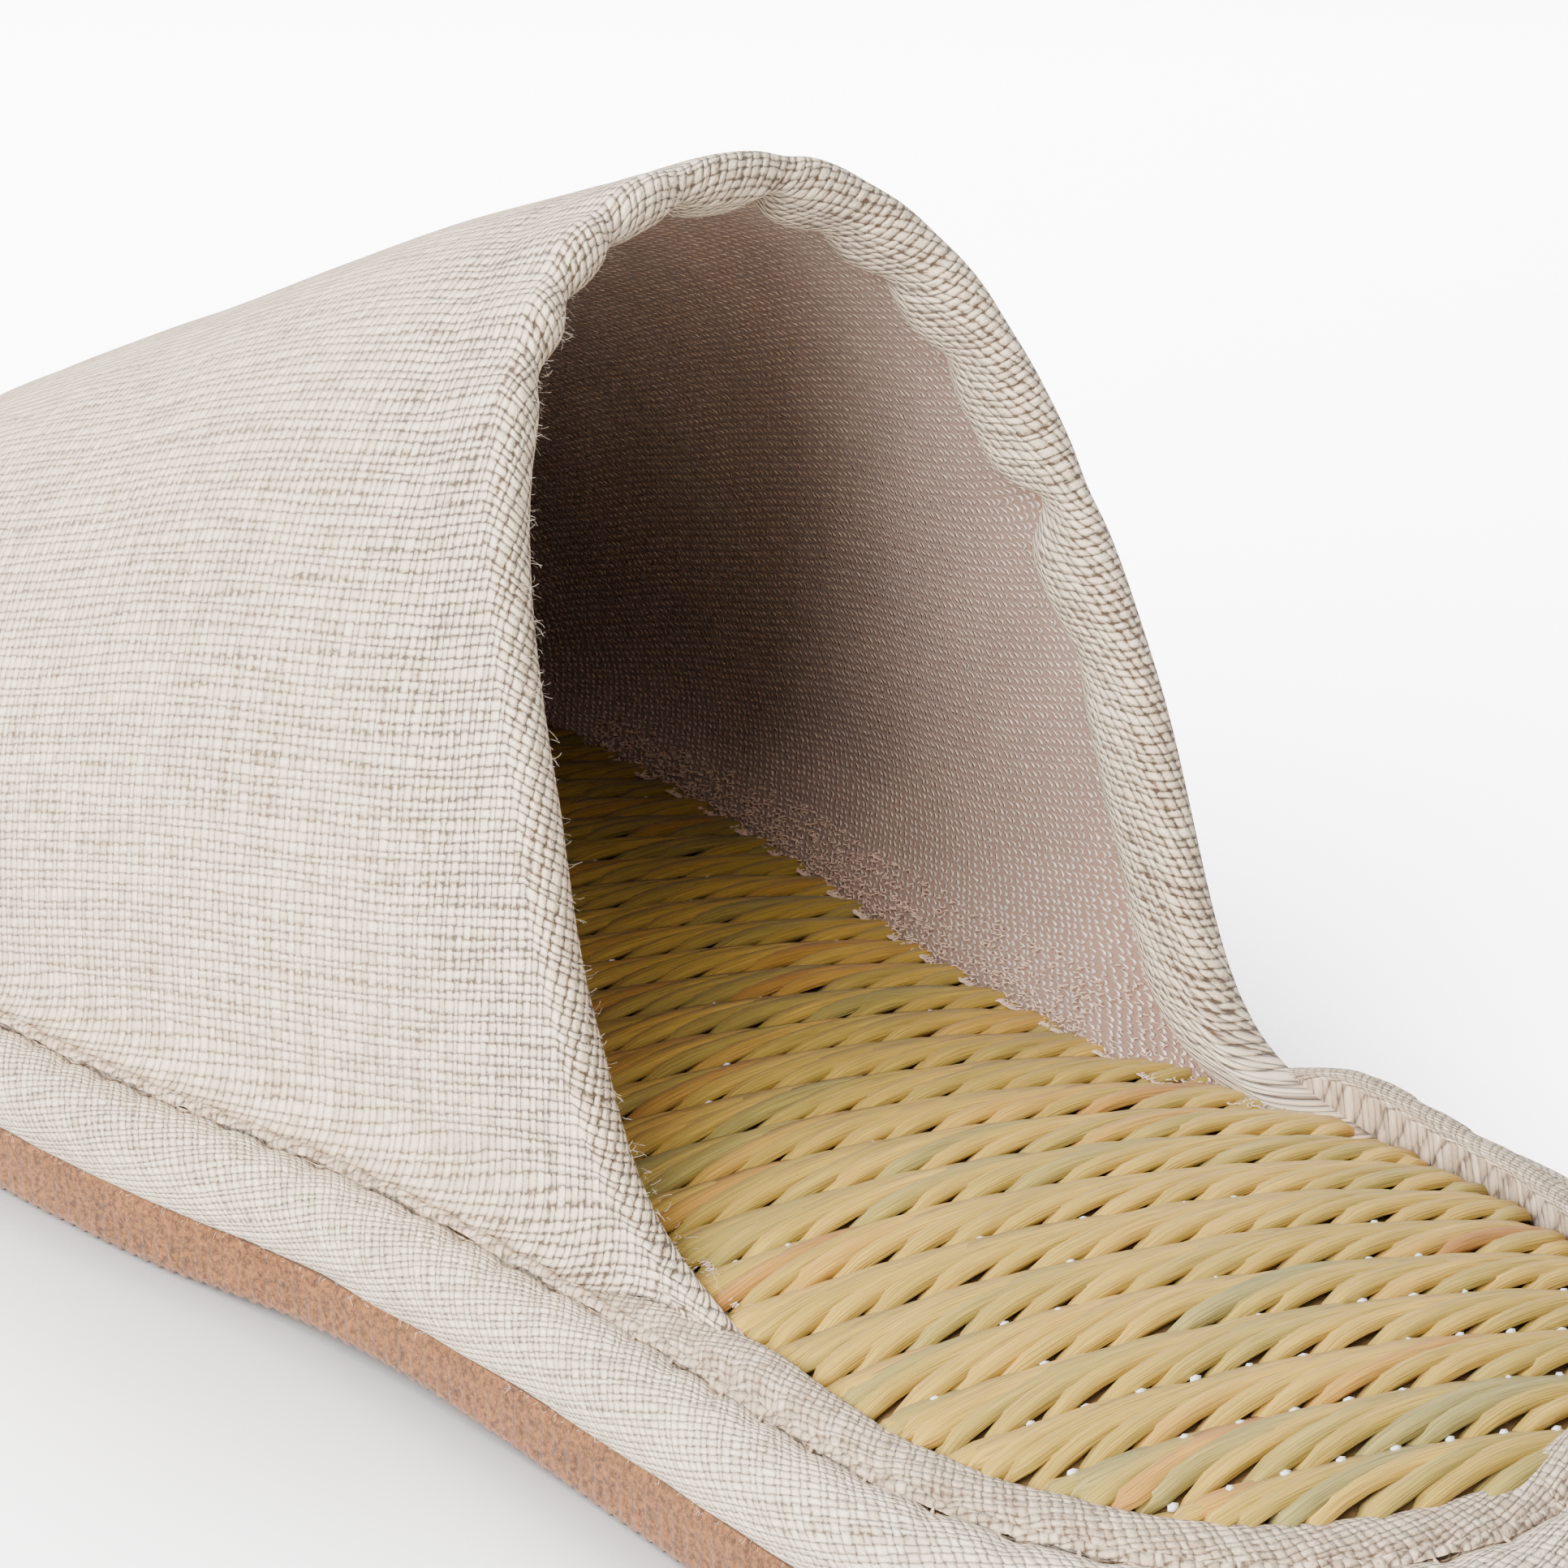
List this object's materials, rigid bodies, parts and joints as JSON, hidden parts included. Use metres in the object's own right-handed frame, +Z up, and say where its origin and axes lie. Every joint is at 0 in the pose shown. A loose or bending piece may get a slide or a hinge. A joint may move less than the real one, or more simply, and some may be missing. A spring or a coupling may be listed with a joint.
{
  "type": "rush grass slipper",
  "caption": "Closed-toe house slipper with a soft linen upper, a woven rush insole and a thick linen-wrapped sole edge.",
  "frame": {"origin": "centre of the outsole's box, on the floor", "axes": "+Z up, the toe points along -X and the heel along +X, Y runs across the slipper"},
  "size_m": [0.268, 0.1166, 0.1061],
  "materials": {
    "outsole_suede": "matte tan suede-like sheet with a fine grain",
    "rim_linen": "pale linen plain weave on the bias",
    "strip_linen": "pale linen binding",
    "rush": "dried rush, straw and olive strands with a low sheen",
    "upper_linen": "beige slubbed linen plain weave with a pinkish terry lining",
    "hem_linen": "gathered beige linen"
  },
  "bodies": {
    "root": {"outsole": "outsole_suede", "rim_roll": "rim_linen", "edge_strip": "strip_linen", "insole_mat": "rush", "upper": "upper_linen", "hem_roll": "hem_linen"}
  },
  "joints": []
}
